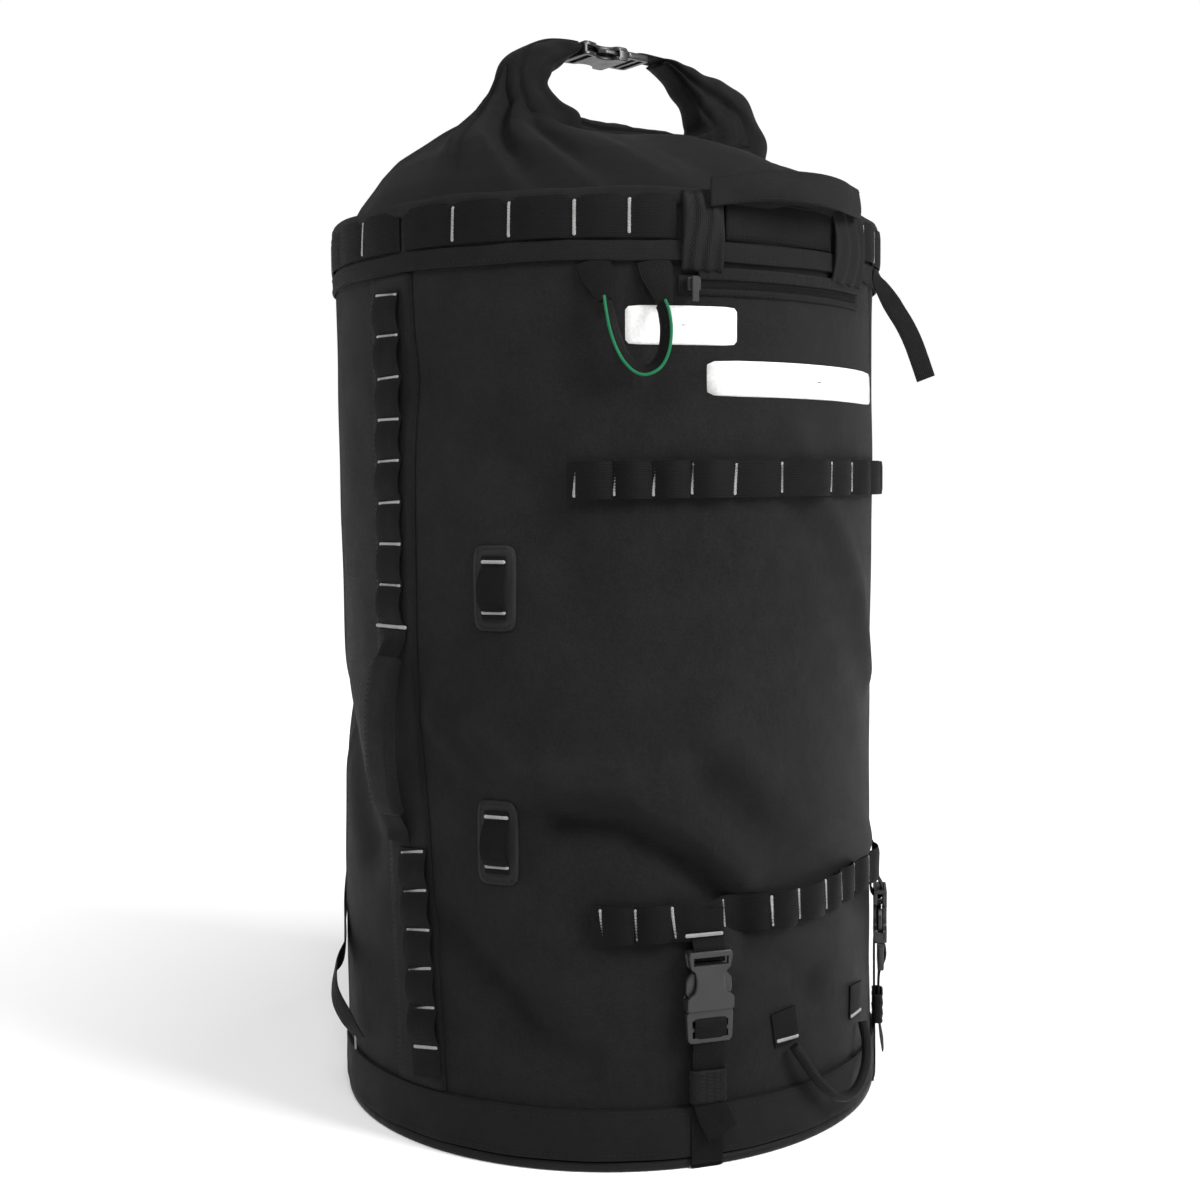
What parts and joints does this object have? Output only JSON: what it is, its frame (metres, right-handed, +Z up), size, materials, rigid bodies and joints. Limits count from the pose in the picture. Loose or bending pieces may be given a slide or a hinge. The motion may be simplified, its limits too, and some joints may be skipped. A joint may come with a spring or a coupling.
{
  "type": "rope storage bag",
  "caption": "Tall round fabric rope bag with a roll-top closed into a handle, daisy-chain webbing, side and front handles, compression buckles, a zip pocket and shoulder straps.",
  "frame": {"origin": "centre of the underside of the base", "axes": "+Z up along the bag, -Y towards the zip pocket at the front, +X to the right seen from the front"},
  "size_m": [0.4146, 0.4257, 0.7392],
  "materials": {
    "fabric": "satin coated polyester",
    "base_fabric": "satin heavy coated fabric",
    "webbing": "matt woven webbing",
    "elastic": "matt elastic",
    "buckle": "satin",
    "hoop": "satin",
    "edge": "woven, green edges",
    "zip_metal": "satin grey"
  },
  "bodies": {
    "bag": {"bag_body": "fabric", "rim_band": "fabric", "side_backing": "fabric", "patch_upper": "fabric", "patch_lower": "fabric", "zip_welt": "fabric", "shoulder_pad_left": "fabric", "shoulder_pad_right": "fabric", "collar": "fabric", "rolled_mouth": "fabric", "base_panel": "base_fabric", "base_band": "webbing", "rim_hem": "webbing", "rim_webbing_left": "webbing", "rim_webbing_right": "webbing", "rim_webbing_back": "webbing", "rim_webbing_front": "webbing", "rim_tail": "webbing", "keeper_left": "webbing", "keeper_right": "webbing", "side_chain_upper": "webbing", "side_chain_lower": "webbing", "middle_chain": "webbing", "lower_chain": "webbing", "side_handle_upper": "webbing", "side_handle_lower": "webbing", "patch_loop_upper": "webbing", "patch_loop_lower": "webbing", "zip_tape": "webbing", "edge_loop_tab_left": "webbing", "edge_loop_tab_right": "webbing", "front_strap_upper": "webbing", "front_strap_lower": "webbing", "right_strap_upper": "webbing", "right_strap_lower": "webbing", "haul_tab_left": "webbing", "haul_tab_right": "webbing", "shoulder_web_left": "webbing", "shoulder_web_right": "webbing", "front_keeper": "elastic", "right_keeper": "elastic", "front_buckle_female": "buckle", "right_buckle_female": "buckle", "top_buckle_female": "buckle", "strap_lock_left": "buckle", "strap_lock_right": "buckle", "rim_hoop": "hoop"},
    "front_buckle": {"front_buckle_male": "buckle", "front_tail": "webbing"},
    "right_buckle": {"right_buckle_male": "buckle", "right_tail": "webbing"},
    "top_buckle": {"top_buckle_male": "buckle", "top_strap": "webbing"},
    "zip_slider": {"zip_slider": "zip_metal"},
    "zip_pull": {"zip_pull": "zip_metal"},
    "side_handle": {"side_handle_grip": "fabric"},
    "grab_handle": {"grab_handle": "fabric"},
    "edge_loop": {"edge_loop": "edge"},
    "haul_loop": {"haul_loop": "webbing"}
  },
  "joints": [
    {"name": "front_buckle_slide", "type": "slide", "parent": "bag", "child": "front_buckle", "axis": [0, 0, -1], "range_m": [0, 0.0175]},
    {"name": "right_buckle_slide", "type": "slide", "parent": "bag", "child": "right_buckle", "axis": [0, 0, -1], "range_m": [0, 0.0175]},
    {"name": "top_buckle_slide", "type": "slide", "parent": "bag", "child": "top_buckle", "axis": [1, 0, 0], "range_m": [0, 0.0175]},
    {"name": "zip_run", "type": "hinge", "parent": "bag", "child": "zip_slider", "pos_m": [0, 0, 0.549], "axis": [0, 0, 1], "range_deg": [0, 43]},
    {"name": "zip_pull_swing", "type": "hinge", "parent": "zip_slider", "child": "zip_pull", "pos_m": [-0.07578, -0.18206, 0.5525], "axis": [-0.9232, 0.3843, 0], "range_deg": [0, 95]},
    {"name": "side_handle_swing", "type": "hinge", "parent": "bag", "child": "side_handle", "pos_m": [-0.19115, -0.02009, 0.268], "axis": [0, 0, 1], "range_deg": [-20, 20]},
    {"name": "grab_handle_swing", "type": "hinge", "parent": "bag", "child": "grab_handle", "pos_m": [-0.0039, -0.18781, 0.6125], "axis": [-0.9997, 0.0225, 0], "range_deg": [0, 60]},
    {"name": "edge_loop_swing", "type": "hinge", "parent": "bag", "child": "edge_loop", "pos_m": [-0.11306, -0.1645, 0.54], "axis": [-0.8241, 0.5664, 0], "range_deg": [0, 70]},
    {"name": "haul_loop_swing", "type": "hinge", "parent": "bag", "child": "haul_loop", "pos_m": [0.03508, -0.18928, 0.0665], "axis": [-0.9833, -0.1822, 0], "range_deg": [0, 75]}
  ]
}
